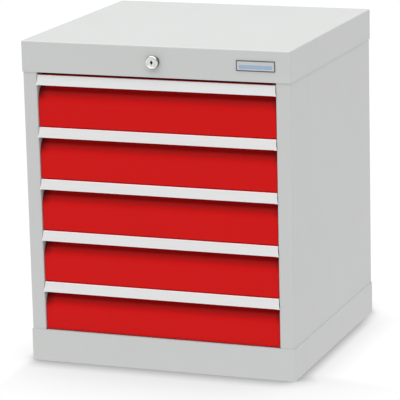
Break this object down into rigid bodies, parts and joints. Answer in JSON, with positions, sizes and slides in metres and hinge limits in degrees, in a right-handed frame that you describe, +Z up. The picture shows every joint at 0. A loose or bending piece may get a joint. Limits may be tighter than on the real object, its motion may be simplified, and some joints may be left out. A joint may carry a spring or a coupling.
{
  "type": "drawer cabinet",
  "caption": "Free-standing sheet-steel drawer cabinet: equal full-width drawers on telescopic runners, scooped fronts with handle strips, and one central key lock.",
  "frame": {"origin": "middle of the footprint on the floor, under the centre of the bounding box", "axes": "+Z up, fronts face -Y, +X to the right as seen from the front"},
  "size_m": [0.53, 0.51, 0.62],
  "materials": {
    "cover_paint": "satin powder coat, light grey",
    "body_paint": "satin powder coat, light grey",
    "front_paint": "satin powder coat, red",
    "handle_metal": "satin anodised",
    "cap_plastic": "moulded, light grey",
    "tray_paint": "satin powder coat, light grey",
    "runner_zinc": "bright zinc plated",
    "lock_chrome": "polished plated",
    "lock_core": "satin plated",
    "lock_steel": "zinc plated",
    "guide_plastic": "moulded, black",
    "badge_frame": "moulded, dark grey",
    "badge_plate": "satin, bare"
  },
  "bodies": {
    "cabinet": {"top_cover": "cover_paint", "base_plinth": "cover_paint", "left_side_panel": "body_paint", "right_side_panel": "body_paint", "rear_panel": "body_paint", "floor_panel": "body_paint", "front_uprights": "body_paint", "rear_uprights": "body_paint", "lock_barrel": "lock_chrome", "lock_nut": "lock_steel", "rod_bearing": "lock_steel", "bar_guides": "guide_plastic", "badge_frame": "badge_frame", "badge_plate": "badge_plate", "runner_outer_1": "runner_zinc", "runner_outer_2": "runner_zinc", "runner_outer_3": "runner_zinc", "runner_outer_4": "runner_zinc", "runner_outer_5": "runner_zinc"},
    "lock_core": {"lock_plug": "lock_core", "lock_rod": "lock_steel", "crank_arm": "lock_steel"},
    "lock_bar": {"lock_bar": "lock_steel", "lock_hooks": "lock_steel"},
    "drawer_1": {"drawer_front_1": "front_paint", "handle_strip_1": "handle_metal", "handle_end_caps_1": "cap_plastic", "drawer_tray_1": "tray_paint", "runner_inner_1": "runner_zinc", "rear_catch_1": "lock_steel"},
    "middle_1": {"runner_middle_1": "runner_zinc"},
    "drawer_2": {"drawer_front_2": "front_paint", "handle_strip_2": "handle_metal", "handle_end_caps_2": "cap_plastic", "drawer_tray_2": "tray_paint", "runner_inner_2": "runner_zinc", "rear_catch_2": "lock_steel"},
    "middle_2": {"runner_middle_2": "runner_zinc"},
    "drawer_3": {"drawer_front_3": "front_paint", "handle_strip_3": "handle_metal", "handle_end_caps_3": "cap_plastic", "drawer_tray_3": "tray_paint", "runner_inner_3": "runner_zinc", "rear_catch_3": "lock_steel"},
    "middle_3": {"runner_middle_3": "runner_zinc"},
    "drawer_4": {"drawer_front_4": "front_paint", "handle_strip_4": "handle_metal", "handle_end_caps_4": "cap_plastic", "drawer_tray_4": "tray_paint", "runner_inner_4": "runner_zinc", "rear_catch_4": "lock_steel"},
    "middle_4": {"runner_middle_4": "runner_zinc"},
    "drawer_5": {"drawer_front_5": "front_paint", "handle_strip_5": "handle_metal", "handle_end_caps_5": "cap_plastic", "drawer_tray_5": "tray_paint", "runner_inner_5": "runner_zinc", "rear_catch_5": "lock_steel"},
    "middle_5": {"runner_middle_5": "runner_zinc"}
  },
  "joints": [
    {"name": "drawer_1_slide", "type": "slide", "parent": "cabinet", "child": "drawer_1", "axis": [0, -1, 0], "range_m": [0, 0.4]},
    {"name": "middle_1_slide", "type": "slide", "parent": "cabinet", "child": "middle_1", "axis": [0, -1, 0], "range_m": [0, 0.2]},
    {"name": "drawer_2_slide", "type": "slide", "parent": "cabinet", "child": "drawer_2", "axis": [0, -1, 0], "range_m": [0, 0.4]},
    {"name": "middle_2_slide", "type": "slide", "parent": "cabinet", "child": "middle_2", "axis": [0, -1, 0], "range_m": [0, 0.2]},
    {"name": "drawer_3_slide", "type": "slide", "parent": "cabinet", "child": "drawer_3", "axis": [0, -1, 0], "range_m": [0, 0.4]},
    {"name": "middle_3_slide", "type": "slide", "parent": "cabinet", "child": "middle_3", "axis": [0, -1, 0], "range_m": [0, 0.2]},
    {"name": "drawer_4_slide", "type": "slide", "parent": "cabinet", "child": "drawer_4", "axis": [0, -1, 0], "range_m": [0, 0.4]},
    {"name": "middle_4_slide", "type": "slide", "parent": "cabinet", "child": "middle_4", "axis": [0, -1, 0], "range_m": [0, 0.2]},
    {"name": "drawer_5_slide", "type": "slide", "parent": "cabinet", "child": "drawer_5", "axis": [0, -1, 0], "range_m": [0, 0.4]},
    {"name": "middle_5_slide", "type": "slide", "parent": "cabinet", "child": "middle_5", "axis": [0, -1, 0], "range_m": [0, 0.2]},
    {"name": "lock_turn", "type": "hinge", "parent": "cabinet", "child": "lock_core", "pos_m": [0, -0.2546, 0.5905], "axis": [0, 1, 0], "range_deg": [0, 90]},
    {"name": "lock_bar_lift", "type": "slide", "parent": "cabinet", "child": "lock_bar", "axis": [0, 0, 1], "range_m": [0, 0.01415]}
  ],
  "couplings": [
    {"joint": "middle_1_slide", "follows": "drawer_1_slide", "ratio": 0.5},
    {"joint": "middle_2_slide", "follows": "drawer_2_slide", "ratio": 0.5},
    {"joint": "middle_3_slide", "follows": "drawer_3_slide", "ratio": 0.5},
    {"joint": "middle_4_slide", "follows": "drawer_4_slide", "ratio": 0.5},
    {"joint": "middle_5_slide", "follows": "drawer_5_slide", "ratio": 0.5},
    {"joint": "lock_bar_lift", "follows": "lock_turn", "m_per_rad": 0.0090032}
  ]
}
